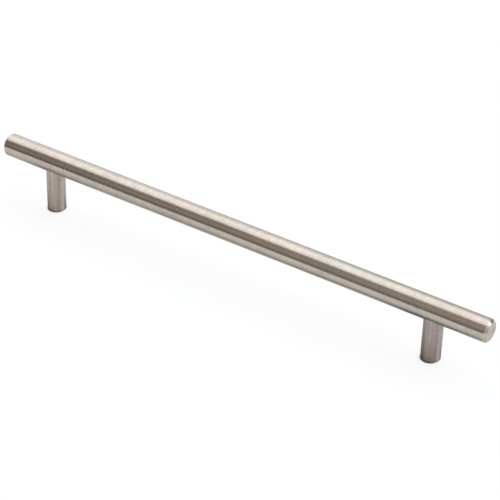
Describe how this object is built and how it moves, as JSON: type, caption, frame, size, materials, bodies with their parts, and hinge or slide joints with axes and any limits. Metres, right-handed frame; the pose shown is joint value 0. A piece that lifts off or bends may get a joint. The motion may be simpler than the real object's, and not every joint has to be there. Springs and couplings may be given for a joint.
{
  "type": "t bar cabinet pull",
  "caption": "Long round bar pull in a satin nickel finish, carried on short round posts whose feet are tapped for screws put in from behind.",
  "frame": {"origin": "on the mounting surface, midway between the two feet", "axes": "+X along the bar, +Z out of the door or drawer front towards the bar, +Y across the bar"},
  "size_m": [0.284, 0.012, 0.035],
  "materials": {
    "satin_nickel": "satin nickel over ground steel, with fine grinding marks round the bar and posts",
    "plain_steel": "plain hardened steel, lightly oiled"
  },
  "bodies": {
    "root": {"bar": "satin_nickel", "post_left": "satin_nickel", "post_right": "satin_nickel", "stud_left": "plain_steel", "stud_right": "plain_steel"}
  },
  "joints": []
}
